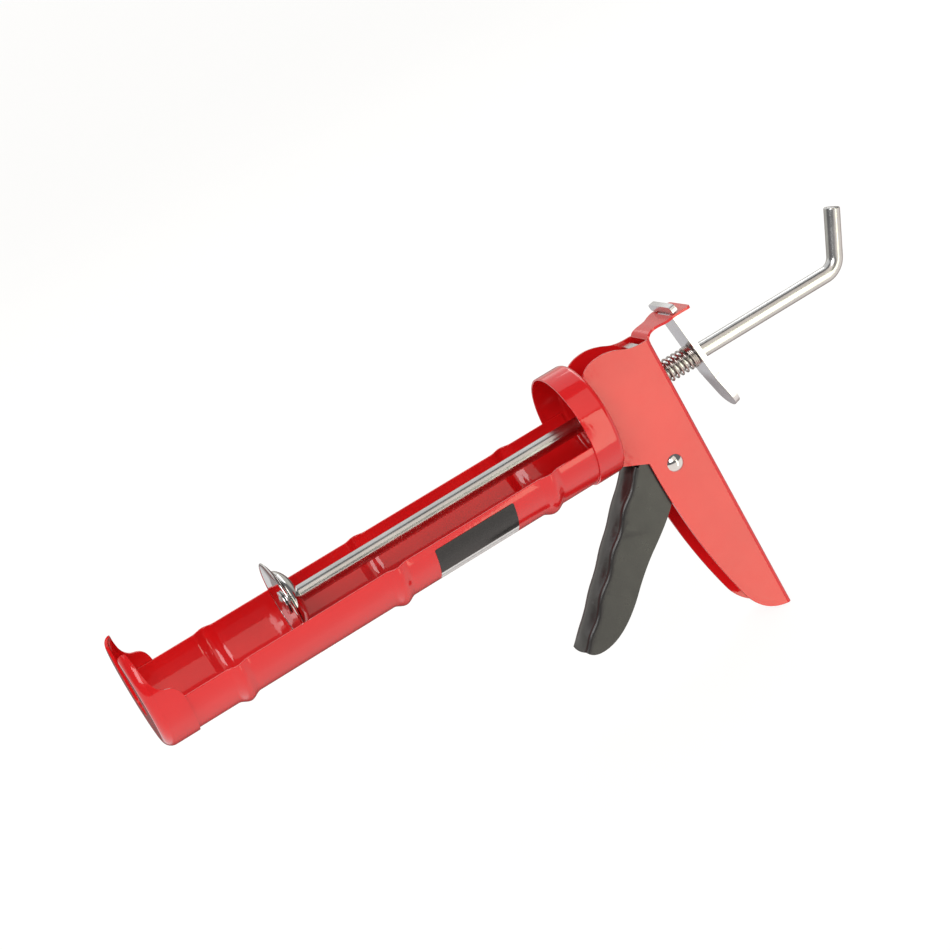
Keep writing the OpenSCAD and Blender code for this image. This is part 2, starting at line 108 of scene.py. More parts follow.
# ---------------------------------------------------------------- mesh helpers
def curve(a, b, c, n=18):
    """Quadratic curve from a to c drawn towards b, without its last point."""
    out = []
    for i in range(n):
        t = i / n
        pull, end = 2 * t * (1 - t), t * t
        out.append(tuple((1 - t) ** 2 * p + pull * q + end * r for p, q, r in zip(a, b, c)))
    return out


def circle(cx, cy, r, n=40):
    angles = [2 * math.pi * i / n for i in range(n)]
    return [(cx + r * math.cos(a), cy + r * math.sin(a)) for a in angles]


def arc(cx, cy, r, a0, a1, n=10):
    """Points on a circle from angle a0 to a1, in degrees, both ends included."""
    angles = [math.radians(a0 + (a1 - a0) * i / n) for i in range(n + 1)]
    return [(cx + r * math.cos(a), cy + r * math.sin(a)) for a in angles]


def rounded(u0, u1, v0, v1, r, n=10):
    """Outline of a rectangle with round corners."""
    return (
        arc(u1 - r, v0 + r, r, -90, 0, n) + arc(u1 - r, v1 - r, r, 0, 90, n)
        + arc(u0 + r, v1 - r, r, 90, 180, n) + arc(u0 + r, v0 + r, r, 180, 270, n)
    )


def thinned(points, least=0.05):
    """The points, without those that are no further than the least step from the one before."""
    out = []
    for q in points:
        if not out or math.dist(q, out[-1]) > least:
            out.append(q)
    return out


def turned(points, degrees):
    """Points turned about the X axis."""
    c, s = math.cos(math.radians(degrees)), math.sin(math.radians(degrees))
    return [(x, y * c - z * s, y * s + z * c) for x, y, z in points]


def pattern(outline, holes=()):
    """Flat sheet with holes, as a bmesh in the plane z = 0."""
    bm = bmesh.new()
    for loop in [outline, *holes]:
        kept = [q for i, q in enumerate(loop) if math.dist(q, loop[i - 1]) > MERGE]
        vs = [bm.verts.new((u, v, 0)) for u, v in kept]
        for i, v in enumerate(vs):
            bm.edges.new((v, vs[(i + 1) % len(vs)]))
    bmesh.ops.triangle_fill(bm, use_beauty=True, use_dissolve=False, edges=bm.edges[:])
    return bm


def cut(bm, axis, values):
    """Cuts the flat sheet across, so that it can be bent there."""
    for value in values:
        co, no = Vector((0, 0, 0)), Vector((0, 0, 0))
        co[axis], no[axis] = value, 1
        bmesh.ops.bisect_plane(
            bm, geom=bm.verts[:] + bm.edges[:] + bm.faces[:],
            plane_co=co, plane_no=no, dist=CUT_REACH,
        )
    bmesh.ops.remove_doubles(bm, verts=bm.verts[:], dist=MERGE)
    bmesh.ops.dissolve_degenerate(bm, edges=bm.edges[:], dist=SLIVER)


def mapped(bm, place):
    """Moves each point of the flat sheet to its place in space."""
    for v in bm.verts:
        v.co = Vector(place(v.co.x, v.co.y))
    return bm


def grid(rows, wrap_rows=False, wrap_cols=False, skip=None):
    """Quads between rows of points. skip says which to leave out."""
    bm = bmesh.new()
    vs = [[bm.verts.new(p) for p in row] for row in rows]
    nr, nc = len(vs), len(vs[0])
    for i in range(nr if wrap_rows else nr - 1):
        for j in range(nc if wrap_cols else nc - 1):
            if skip and skip(i, j):
                continue
            a, b = vs[i], vs[(i + 1) % nr]
            bm.faces.new([a[j], a[(j + 1) % nc], b[(j + 1) % nc], b[j]])
    bmesh.ops.remove_doubles(bm, verts=bm.verts[:], dist=1e-5)
    return bm


def lathe(profile, closed=True, segs=96, axis="x", at=(0, 0, 0)):
    """Turns (along, radius) points about an axis through at."""
    rows = []
    for h, r in profile:
        row = []
        for k in range(segs):
            a = 2 * math.pi * k / segs
            u, v = r * math.sin(a), r * math.cos(a)
            p = (h, u, v) if axis == "x" else (u, h, v)
            row.append(tuple(q + o for q, o in zip(p, at)))
        rows.append(row)
    return grid(rows, wrap_rows=closed, wrap_cols=True)


def tube(centres, radius, sides):
    """Round wire along centre points, closed at its ends."""
    c = np.array(centres, float)
    t = np.gradient(c, axis=0)
    t /= np.linalg.norm(t, axis=1)[:, None]
    rows = []
    n = np.array([0.0, 1.0, 0.0]) if abs(t[0][1]) < 0.9 else np.array([0.0, 0.0, 1.0])
    angles = [2 * math.pi * k / sides for k in range(sides)]
    for p, d in zip(c, t):
        n = n - (n @ d) * d
        n /= np.linalg.norm(n)
        b = np.cross(d, n)
        rows.append([tuple(p + radius * (math.cos(a) * n + math.sin(a) * b)) for a in angles])
    bm = grid(rows, wrap_cols=True)
    bmesh.ops.holes_fill(bm, edges=[e for e in bm.edges if e.is_boundary], sides=0)
    return bm


def join(*parts):
    """One bmesh of several."""
    out = bmesh.new()
    for bm in parts:
        mesh = bpy.data.meshes.new("join")
        bm.to_mesh(mesh)
        bm.free()
        out.from_mesh(mesh)
        bpy.data.meshes.remove(mesh)
    return out


def piece(
    name, bm, body, material, nodes=(),
    out=None, sheet=0.0, offset=-1.0, bevel=0.0, segs=3, angle=38.0,
):
    """Object in metres from a bmesh in mm.

    out is a function that gives the outward direction at a point of an open sheet. sheet is the
    sheet's thickness, bevel the width of its rounded edges, and angle, in degrees, what counts as
    an edge.
    """
    if out is None:
        bmesh.ops.recalc_face_normals(bm, faces=bm.faces[:])
    else:
        bm.normal_update()
        side = 0.0
        for f in bm.faces:
            side += f.normal.dot(Vector(out(f.calc_center_median()))) * f.calc_area()
        if side < 0:
            bmesh.ops.reverse_faces(bm, faces=bm.faces[:])
    bmesh.ops.scale(bm, vec=(MM, MM, MM), verts=bm.verts[:])
    mesh = bpy.data.meshes.new(name)
    bm.to_mesh(mesh)
    bm.free()
    for f in mesh.polygons:
        f.use_smooth = True
    ob = bpy.data.objects.new(name, mesh)
    bpy.context.scene.collection.objects.link(ob)
    mesh.materials.append(material)
    if sheet:
        m = ob.modifiers.new("sheet", "SOLIDIFY")
        m.thickness, m.offset, m.use_even_offset = sheet * MM, offset, True
        m.use_quality_normals = True
    if bevel:
        m = ob.modifiers.new("edges", "BEVEL")
        m.width, m.segments = bevel * MM, segs
        m.limit_method, m.angle_limit = "ANGLE", math.radians(angle)
        m.harden_normals = True
        m.miter_outer = "MITER_ARC"
    else:
        mesh.set_sharp_from_angle(angle=math.radians(angle))
    if body:
        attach(ob, body)
    if nodes:
        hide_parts(*nodes)
    return ob


# ---------------------------------------------------------------- materials
class Nodes:
    """Builds one material's node tree."""

    def __init__(self, name):
        self.mat = bpy.data.materials.new(name)
        self.mat.use_nodes = True
        self.tree = self.mat.node_tree
        self.tree.nodes.clear()
        self.out = self.tree.nodes.new("ShaderNodeOutputMaterial")
        self.bsdf = self.tree.nodes.new("ShaderNodeBsdfPrincipled")
        self.tree.links.new(self.bsdf.outputs[0], self.out.inputs["Surface"])
        self.coord = self.tree.nodes.new("ShaderNodeTexCoord").outputs["Object"]

    def link(self, a, b):
        self.tree.links.new(a, b)

    def set(self, **values):
        for key, value in values.items():
            self.bsdf.inputs[key.replace("_", " ")].default_value = value

    def noise(self, scale, detail=3.0, rough=0.5, stretch=None):
        n = self.tree.nodes.new("ShaderNodeTexNoise")
        n.inputs["Scale"].default_value = scale
        n.inputs["Detail"].default_value = detail
        n.inputs["Roughness"].default_value = rough
        source = self.coord
        if stretch:
            m = self.tree.nodes.new("ShaderNodeMapping")
            m.inputs["Scale"].default_value = stretch
            self.link(self.coord, m.inputs["Vector"])
            source = m.outputs["Vector"]
        self.link(source, n.inputs["Vector"])
        return n.outputs["Fac"]

    def range(self, value, lo, hi, from_lo=0.3, from_hi=0.7):
        """lo to hi as the value goes from from_lo to from_hi, and no further."""
        n = self.tree.nodes.new("ShaderNodeMapRange")
        n.inputs["From Min"].default_value, n.inputs["From Max"].default_value = from_lo, from_hi
        n.inputs["To Min"].default_value, n.inputs["To Max"].default_value = lo, hi
        self.link(value, n.inputs["Value"])
        return n.outputs["Result"]

    def separate(self):
        """The coordinate's three parts."""
        n = self.tree.nodes.new("ShaderNodeSeparateXYZ")
        self.link(self.coord, n.inputs[0])
        return n.outputs

    def math(self, op, a, b):
        n = self.tree.nodes.new("ShaderNodeMath")
        n.operation = op
        for i, v in enumerate((a, b)):
            if isinstance(v, (int, float)):
                n.inputs[i].default_value = v
            else:
                self.link(v, n.inputs[i])
        return n.outputs[0]

    def mix(self, fac, a, b):
        n = self.tree.nodes.new("ShaderNodeMix")
        n.data_type = "RGBA"
        self.link(fac, n.inputs["Factor"])
        for socket, v in ((n.inputs[6], a), (n.inputs[7], b)):
            if isinstance(v, tuple):
                socket.default_value = (*v, 1)
            else:
                self.link(v, socket)
        return n.outputs[2]

    def bump(self, height, strength, distance, under=None):
        n = self.tree.nodes.new("ShaderNodeBump")
        n.inputs["Strength"].default_value = strength
        n.inputs["Distance"].default_value = distance
        self.link(height, n.inputs["Height"])
        if under is not None:
            self.link(under, n.inputs["Normal"])
        return n.outputs["Normal"]

    def to(self, socket, value):
        self.link(value, self.bsdf.inputs[socket])


def enamel():
    """Glossy stoved enamel: faint orange peel, slow tone drift, tiny dust nibs."""
    n = Nodes("red_enamel_gloss")
    n.set(Metallic=0.0, IOR=1.5, Specular_IOR_Level=0.2)
    n.set(Coat_Weight=0.85, Coat_IOR=1.5, Coat_Roughness=0.03)
    drift = n.range(n.noise(28, 2), 0, 1)
    n.to("Base Color", n.mix(drift, (0.68, 0.0075, 0.010), (0.76, 0.0125, 0.014)))
    n.to("Roughness", n.range(n.noise(260, 3), 0.13, 0.22))
    peel = n.noise(520, 2, 0.4)
    nibs = n.range(n.noise(1500, 1), 0, 1, 0.70, 0.78)
    height = n.math("ADD", peel, n.math("MULTIPLY", nibs, 0.35))
    coat = n.bump(height, 0.05, 0.0003)
    n.to("Normal", coat)
    n.to("Coat Normal", coat)
    return n.mat


def black_coat():
    """Satin black coating: fine texture and slightly polished patches."""
    n = Nodes("black_coat_satin")
    n.set(Metallic=0.0, IOR=1.5, Specular_IOR_Level=0.5)
    n.set(Coat_Weight=0.25, Coat_IOR=1.5, Coat_Roughness=0.22)
    drift = n.range(n.noise(60, 3), 0, 1)
    n.to("Base Color", n.mix(drift, (0.012, 0.0115, 0.011), (0.021, 0.020, 0.019)))
    n.to("Roughness", n.range(n.noise(180, 4), 0.27, 0.38))
    fine = n.noise(2600, 2, 0.6)
    soft = n.noise(300, 2, 0.5)
    n.to("Normal", n.bump(fine, 0.10, 0.00012, n.bump(soft, 0.05, 0.0003)))
    return n.mat


def plated(name, tone, low, high, stretch, streak=0.08):
    """Plated steel: drawn or rolled streaks along one direction, under a cloudy finish."""
    n = Nodes(name)
    n.set(Metallic=1.0, IOR=2.5)
    cloud = n.noise(90, 4, 0.55)
    dark = tuple(0.86 * c for c in tone)
    n.to("Base Color", n.mix(n.range(cloud, 0, 1), dark, tone))
    lines = n.noise(1.0, 3, 0.55, stretch)
    rough = n.math("ADD", n.range(cloud, low, high), n.range(lines, -0.02, 0.03))
    n.to("Roughness", rough)
    n.to("Normal", n.bump(lines, streak, 0.00008, n.bump(n.noise(420, 2), 0.03, 0.0002)))
    return n.mat


def sticker():
    """Plain laminated label: a black field over a pale strip, with a grey rule in the strip."""
    n = Nodes("label_film")
    n.set(Metallic=0.0, IOR=1.5, Specular_IOR_Level=0.3, Coat_Weight=0.3, Coat_Roughness=0.12)
    _, y, z = n.separate()
    below = n.math("MULTIPLY", n.math("ARCTAN2", z, y), -180 / math.pi)
    strip = n.range(below, 0, 1, LABEL_STRIP - 0.1, LABEL_STRIP + 0.1)
    rule_from, rule_to = LABEL_STRIP + 4.5, LABEL_STRIP + 6.0
    rule = n.math(
        "MULTIPLY",
        n.range(below, 0, 1, rule_from, rule_from + 0.1),
        n.range(below, 1, 0, rule_to - 0.1, rule_to),
    )
    fibre = n.noise(900, 3)
    share = n.range(fibre, 0, 1)
    black = n.mix(share, (0.010, 0.010, 0.010), (0.019, 0.018, 0.018))
    paper = n.mix(share, (0.70, 0.69, 0.68), (0.80, 0.79, 0.78))
    grey = n.mix(share, (0.30, 0.29, 0.29), (0.36, 0.35, 0.35))
    n.to("Base Color", n.mix(rule, n.mix(strip, black, paper), grey))
    n.to("Roughness", n.range(n.noise(350, 3), 0.22, 0.34))
    n.to("Normal", n.bump(fibre, 0.04, 0.0001))
    return n.mat


RED = enamel()
BLACK = black_coat()
ROD = plated("bright_rod", (0.60, 0.60, 0.59), 0.19, 0.25, (30, 2600, 2600))
PRESSED = plated("bright_pressing", (0.72, 0.715, 0.70), 0.06, 0.11, (500, 500, 500), 0.03)
WIRE = plated("spring_wire", (0.50, 0.47, 0.44), 0.12, 0.20, (900, 900, 900), 0.05)
ZINC = plated("zinc_plate", (0.75, 0.75, 0.76), 0.20, 0.28, (1500, 1500, 60), 0.025)
LABEL = sticker()


# ---------------------------------------------------------------- cradle
def rib_at(x):
    """How far the wall is pressed out at x."""
    near = [x - c for c in RIBS if abs(x - c) < RIB_W / 2]
    return sum(RIB_H * (1 + math.cos(2 * math.pi * d / RIB_W)) / 2 for d in near)


def trough_point(x, r, t):
    """Point of the trough at radius r, t from -1 on one rim to 1 on the other."""
    a = t * math.acos(-RIM_Z / r)
    return (x, r * math.sin(a), -r * math.cos(a))


def cradle():
    rear = -COLLAR_DEPTH + END_PLATE + SEAM_GAP + PRESS_R
    front = FRONT_X - END_PLATE - SEAM_GAP - CAP_PRESS_R
    xs = {rear, front, *np.linspace(rear, front, 60)}
    for c in RIBS:
        xs |= {c + RIB_W * (i / 22 - 0.5) for i in range(23)}
    xs = sorted(xs)
    ts = np.linspace(-1, 1, 73)
    rows = []
    for x in xs:
        h = rib_at(x)
        outer = [trough_point(x, CRADLE_OUT + h, t) for t in ts]
        inner = [trough_point(x, CRADLE_R + h, t) for t in reversed(ts)]
        rows.append(turned(outer + inner, -TURN))
    bm = grid(rows, wrap_cols=True)
    bmesh.ops.holes_fill(bm, edges=[e for e in bm.edges if e.is_boundary], sides=0)
    caps = [f for f in bm.faces if len(f.verts) > 8]  # the trough's two ends
    bmesh.ops.triangulate(bm, faces=caps)
    piece("cradle_trough", bm, "frame", RED, ["cradle"], bevel=0.28)


cradle()


# ---------------------------------------------------------------- collar
def collar():
    """Full ring with a closed back plate, as one turned (x, radius) profile."""
    back = -COLLAR_DEPTH
    mid_x, mid_r, hole = back + PRESS_R, SHELL_OUT - PRESS_R, ROD_HOLE + 0.1
    outer = [(0, SHELL_OUT)] + [(x, r) for r, x in arc(mid_r, mid_x, PRESS_R, 0, -90)]
    deep, wide = PRESS_R - END_PLATE, SHELL_IN - SHELL_OUT + PRESS_R
    inner = [
        (mid_x + deep * math.sin(math.radians(a)), mid_r + wide * math.cos(math.radians(a)))
        for a in np.linspace(-90, 0, 11)
    ]
    profile = outer + [(back, hole), (back + END_PLATE, hole)] + inner + [(0, SHELL_IN)]
    ring = lathe(profile, segs=144)
    piece("collar_ring", ring, "frame", RED, ["collar"], bevel=0.28)


collar()


# ---------------------------------------------------------------- front cap
def cap_rows():
    """Rows of the cap's outer face, from the wall's rear edge to the notch in the plate."""
    # the wall's top edge, as (distance from the cap's back, height)
    side = (
        curve((0, RIM_Z), (0.8, 4.8), (5.4, 5.8))
        + curve((5.4, 5.8), (9.2, 6.8), (10.5, 12))
        + curve((10.5, 12), (11.3, 16.5), (11.6, HORN_Z - 1.2))
        + curve((11.6, HORN_Z - 1.2), (11.8, HORN_Z), (12.6, HORN_Z))
        + [(FRONT_X + 1 - CAP_BACK_X, HORN_Z)]
    )
    sx, sz = [CAP_BACK_X + p[0] for p in side], [p[1] for p in side]
    # half the notch's width at each height
    notch_z, notch_half = [0, 17, HORN_Z - 1.6, HORN_Z, 40], [NOTCH_R, 10.9, 11.5, 12.7, 12.7]
    arc_x, arc_r = FRONT_X - CAP_PRESS_R, SHELL_OUT - CAP_PRESS_R
    profile = [(x, SHELL_OUT) for x in [*sx[:-1:2], arc_x] if x <= arc_x]
    profile += [
        (arc_x + CAP_PRESS_R * math.sin(a), arc_r + CAP_PRESS_R * math.cos(a))
        for a in np.linspace(0, math.pi / 2, 29)
    ][1:]
    profile += [(FRONT_X, r) for r in np.linspace(arc_r, NOTCH_R, 26)[1:]]
    profile = sorted(set(profile), key=lambda p: (p[0], -p[1]))
    rows = []
    for x, r in profile:
        top = float(np.interp(x, sx, sz))
        limit = math.acos(max(-1.0, min(1.0, -top / r)))
        z = math.sqrt(max(0.0, r * r - NOTCH_R**2))
        for _ in range(12):  # the height where the circle meets the notch's edge
            half = float(np.interp(z, notch_z, notch_half))
            z = math.sqrt(max(0.0, r * r - min(r, half) ** 2))
        limit = min(limit, math.pi - math.asin(min(1.0, half / r)))
        rows.append([
            (x, r * math.sin(t * limit), -r * math.cos(t * limit)) for t in np.linspace(-1, 1, 97)
        ])
    return rows


def front_cap():
    bm = grid([turned(row, -TURN) for row in cap_rows()])
    middle = Vector((FRONT_X - 10, 0, 0))
    ob = piece(
        "front_cap_shell", bm, "frame", RED, ["front_cap"],
        out=lambda p: p - middle, sheet=END_PLATE, bevel=0.26,
    )
    # the plate is thicker than the wall
    plate = ob.vertex_groups.new(name="plate")
    for v in ob.data.vertices:
        share = (v.co.x / MM - FRONT_X + CAP_PRESS_R) / CAP_PRESS_R
        plate.add([v.index], max(0.0, min(1.0, share)), "REPLACE")
    ob.modifiers["sheet"].vertex_group = "plate"
    ob.modifiers["sheet"].thickness_vertex_group = CRADLE_SHEET / END_PLATE


front_cap()


# ---------------------------------------------------------------- handle frame
def spine(z):
    """The spine's rear face at height z."""
    return SPINE_X - (SPINE_TOP - z) * LEAN


# half the spine's flat width, and the fold's length in the flat sheet
FLAT = HALF - FOLD_R
FOLD = FOLD_R * math.pi / 2


def unfold(x, z):
    """Distance across the flat sheet of a point of the side plate's outline."""
    d = max(0.0, x - spine(z))
    if d < FOLD_R:
        return FLAT + FOLD_R * math.acos(1 - d / FOLD_R)
    return FLAT + FOLD + d - FOLD_R


def fold_frame(p, z):
    """Place in the folded frame of the flat sheet's point p across, at height z."""
    a, s = abs(p), math.copysign(1, p)
    if a <= FLAT:
        return (spine(z), p, z)
    if a <= FLAT + FOLD:
        t = (a - FLAT) / FOLD_R
        return (spine(z) + FOLD_R * (1 - math.cos(t)), s * (FLAT + FOLD_R * math.sin(t)), z)
    return (spine(z) + FOLD_R + a - FLAT - FOLD, s * HALF, z)


def handle_side():
    """Side plate's outline from the spine's foot, up the front and back along the top."""
    foot = (spine(BUTT_Z), BUTT_Z)
    points = curve(foot, (-44.6, -122.5), (-40, -108), 28)
    points += curve((-40, -108), (-28, -72), (-25.9, -30.5), 28)
    points += curve((-25.9, -30.5), (-25.75, -29.9), (-25.2, -29.7), 4)
    points += [(-25.2, -29.7), (FRAME_FRONT, -24.6), (FRAME_FRONT, 17)]
    points += curve((FRAME_FRONT, 17), (FRAME_FRONT - 1.2, 24.6), (-26, 25), 20)
    points += curve((-26, 25), (-31.5, 25.2), (-38, 22), 16)
    points += curve((-38, 22), (-43, 19.7), (SPINE_X + 0.6, SPINE_TOP), 16)
    points += [(SPINE_X + 0.6, SPINE_TOP), (SPINE_X, SPINE_TOP)]
    return thinned([(unfold(x, z), z) for x, z in points])


def box(lo, hi):
    """Block between two corners."""
    bm = bmesh.new()
    bmesh.ops.create_cube(bm, size=1.0)
    for v in bm.verts:
        v.co = Vector([a + (c + 0.5) * (b - a) for a, b, c in zip(lo, hi, v.co)])
    return bm


def handle_frame():
    right = handle_side()
    outline = right + [(-p, z) for p, z in reversed(right)]
    hole = [(unfold(x, z), z) for x, z in circle(*PIVOT, PIVOT_HOLE_R)]
    holes = [hole, [(-p, z) for p, z in hole], circle(0, 0, ROD_HOLE)]
    bm = pattern(outline, holes)
    folds = [FLAT + FOLD * k / FOLD_CUTS for k in range(FOLD_CUTS + 1)]
    cut(bm, 0, folds + [-v for v in folds])
    mapped(bm, fold_frame)
    piece(
        "handle_sheet", bm, "frame", RED, ["handle_frame"],
        out=lambda p: Vector((p.x - spine(p.z) - 18, p.y * 3, 0)), sheet=SHEET, bevel=0.24,
    )
    # front tabs that the rivets hold to the collar
    tab_w, tab_half = 6.2, 4
    tabs = []
    for s in (-1, 1):
        for z in (-RIVET_Z, RIVET_Z):
            y0, y1 = sorted((s * (HALF - SHEET - tab_w), s * (HALF - SHEET + SEAM_GAP)))
            lo = (FRAME_FRONT - SHEET, y0, z - tab_half)
            tabs.append(box(lo, (FRAME_FRONT, y1, z + tab_half)))
    piece("handle_tabs", join(*tabs), "frame", RED, bevel=0.3)


handle_frame()


# ---------------------------------------------------------------- tongue
def tongue():
    """Strip bent back from the spine's top, with the slot the lever hangs through."""
    line = [
        (SPINE_X + 0.6, 17.6), (SPINE_X + 0.55, 19.6), (-51.4, 20.7), (-53, 21.8), (-56, 22.4),
        (-61, 22.6), (-66, 23.7), (-75, 23.6),
    ]
    pts = np.array(line, float)
    for _ in range(3):  # corner cutting
        a, b = pts[:-1], pts[1:]
        mid = np.empty((2 * len(a), 2))
        mid[0::2], mid[1::2] = 0.75 * a + 0.25 * b, 0.25 * a + 0.75 * b
        pts = np.vstack([pts[:1], mid, pts[-1:]])
    # rows at the slot's front and rear edges
    slot = (-65.1, -69.4)
    path = []
    for i in range(len(pts) - 1):
        path.append(pts[i])
        for x in slot:
            if pts[i][0] > x > pts[i + 1][0]:
                t = (x - pts[i][0]) / (pts[i + 1][0] - pts[i][0])
                path.append(pts[i] + t * (pts[i + 1] - pts[i]))
    path.append(pts[-1])
    # fine rows near the rounded rear corners
    rear = [p for p in path if p[0] > -72.9]
    rear += [np.array([x, 23.6]) for x in (-73, -73.6, -74.1, -74.5, -74.8, -74.95, -75)]
    # half the strip's width along it, as (x, y)
    edge = (
        [(-40, 8.6), (-51.8, 8.6)]
        + curve((-51.8, 8.6), (-53.5, 7.6), (-56, 7.6), 10)
        + curve((-56, 7.6), (-58.4, 7.6), (-60.4, 9.4), 10)
        + curve((-60.4, 9.4), (-62.4, 11), (-65, 11), 10)
        + [(-65, 11), (-73, 11)]
        + curve((-73, 11), (-75, 11), (-75, 9), 10)[1:]
        + [(-75.001, 9)]
    )
    ex, ey = [-e[0] for e in edge], [e[1] for e in edge]
    slot_share = (LEVER_W / 2 + 0.4) / 11
    ts = sorted({*np.linspace(-1, 1, 17), slot_share, -slot_share})
    rows = [[(x, t * float(np.interp(-x, ex, ey)), z) for t in ts] for x, z in rear]

    def in_slot(i, j):
        along = slot[1] - 1e-6 <= rear[i + 1][0] and rear[i][0] <= slot[0] + 1e-6
        return along and max(abs(ts[j]), abs(ts[j + 1])) <= slot_share + 1e-6

    bm = grid(rows, skip=in_slot)
    piece(
        "handle_tongue", bm, "frame", RED,
        out=lambda p: Vector((0, 0, 1)), sheet=SHEET, offset=0.0, bevel=0.24,
    )


tongue()


# ---------------------------------------------------------------- trigger
GRIP_RUN = float(np.linalg.norm(GRIP_TIP - GRIP_TOP))
GRIP_DIR = (GRIP_TIP - GRIP_TOP) / GRIP_RUN
GRIP_OUT = np.array([-GRIP_DIR[1], GRIP_DIR[0]])
T_FOLD_R = 2.3
T_FLAT = TRIGGER_W / 2 - T_FOLD_R
T_FOLD = T_FOLD_R * math.pi / 2

# finger waves: half height, pitch, and their share in the middle, at the near and at the far fold
WAVE_H, WAVE_PITCH, WAVE_MIDDLE, WAVE_NEAR, WAVE_FAR = 0.58, 20, 0.12, 1.0, 0.35


def trigger_flat(x, z):
    """(across, along) in the trigger's flat sheet of a point of its side view."""
    rel = np.array([x, z]) - GRIP_TOP
    s, depth = float(rel @ GRIP_DIR), max(0.0, float(-(rel @ GRIP_OUT)))
    if depth < T_FOLD_R:
        return (T_FLAT + T_FOLD_R * math.acos(1 - depth / T_FOLD_R), s)
    return (T_FLAT + T_FOLD + depth - T_FOLD_R, s)


def fold_trigger(p, s):
    """Place in the folded trigger of the flat sheet's point p across and s along the grip."""
    a, side = abs(p), math.copysign(1, p)
    if a <= T_FLAT:
        depth, y = 0.0, p
    elif a <= T_FLAT + T_FOLD:
        t = (a - T_FLAT) / T_FOLD_R
        depth, y = T_FOLD_R * (1 - math.cos(t)), side * (T_FLAT + T_FOLD_R * math.sin(t))
    else:
        depth, y = T_FOLD_R + a - T_FLAT - T_FOLD, side * TRIGGER_W / 2
    near = min(1.0, a / T_FLAT) ** 2
    fade = max(0.0, 1 - max(0.0, depth - T_FOLD_R) / 3.0)
    ends = min(1.0, max(0.0, (s + 2) / 6)) * min(1.0, max(0.0, (GRIP_RUN - s) / 7))
    edge = WAVE_NEAR if p > 0 else WAVE_FAR
    share = WAVE_MIDDLE + (edge - WAVE_MIDDLE) * near
    wave = share * fade * ends * WAVE_H * math.cos(2 * math.pi * (s - WAVE_PITCH) / WAVE_PITCH)
    crown = (0.85 - 1.15 * near) * fade * ends
    x, z = GRIP_TOP + GRIP_DIR * s + GRIP_OUT * (wave + crown - depth)
    return (x, y, z)


def trigger():
    ear, ear_r = (-49.2, -8.0), 1.4
    # the side view's lower edge, from the ear to the grip's tip
    back = curve((-50.6, -12), (-49.5, -33), (-42.5, -43.5), 24)
    back += curve((-42.5, -43.5), (-38.8, -49.6), (-29.2, -49.9), 14)
    back += curve((-29.2, -49.9), (-26.4, -55.5), (-9.7, -67.4), 14)
    back += curve((-9.7, -67.4), (-1.6, -73.5), (6, -81.6), 14)
    back += curve((6, -81.6), (20.9, -96.5), (32.9, -95.4), 24)
    back += curve((32.9, -95.4), (37.5, -95), tuple(GRIP_TIP), 12)
    right = [(T_FLAT + T_FOLD, 0.0), (T_FLAT + T_FOLD + 0.4, -2.6)]
    right += [trigger_flat(-30, -23.6), trigger_flat(-47.8, -12)]
    right += [trigger_flat(x, z) for x, z in arc(*ear, ear_r, 0, 180, 10)]
    right += [trigger_flat(x, z) for x, z in back]
    angles = [math.pi * k / 12 for k in range(1, 12)]
    tip = [(T_FLAT * math.cos(a), GRIP_RUN + 0.9 * math.sin(a)) for a in angles]
    left = [(-p, s) for p, s in reversed(right)]
    outline = thinned(right + [(T_FLAT, GRIP_RUN)] + tip + left)
    hole = [trigger_flat(x, z) for x, z in circle(*PIVOT, PIVOT_HOLE_R)]
    bm = pattern(outline, [hole, [(-p, s) for p, s in hole]])
    across = [T_FLAT + T_FOLD * k / FOLD_CUTS for k in range(FOLD_CUTS + 1)]
    across += [T_FLAT * k / 5 for k in range(1, 5)] + [T_FLAT + T_FOLD + d for d in (1, 2, 3.0)]
    cut(bm, 0, across + [-v for v in across] + [0.0])
    cut(bm, 1, np.arange(0, GRIP_RUN, 1.0))
    mapped(bm, fold_trigger)
    # cuts that bend nothing go again
    bmesh.ops.dissolve_limit(
        bm, angle_limit=math.radians(0.2), verts=bm.verts[:], edges=bm.edges[:],
    )
    piece(
        "trigger_sheet", bm, "trigger", BLACK, ["trigger"],
        out=lambda p: Vector((GRIP_OUT[0] * 0.2, p.y, GRIP_OUT[1] * 0.2)),
        sheet=TRIGGER_SHEET, bevel=0.24,
    )


trigger()


# ---------------------------------------------------------------- release lever
BEND_RUN = 6.0  # the length over which the lever bends


def lever_point(y, s):
    """Front face of the lever at height s along it, bent back below its bend."""
    x, run = 0.0, BEND_RUN
    d = LEVER_BEND + run / 2 - s
    if d > 0:
        part = min(d, run)
        x -= part * part / (2 * run) * math.tan(TAIL_LEAN)
        x -= max(0.0, d - run) * math.tan(TAIL_LEAN)
    c, sn = math.cos(LEVER_LEAN), math.sin(LEVER_LEAN)
    return (LEVER_X + x * c + s * sn, y, -x * sn + s * c)


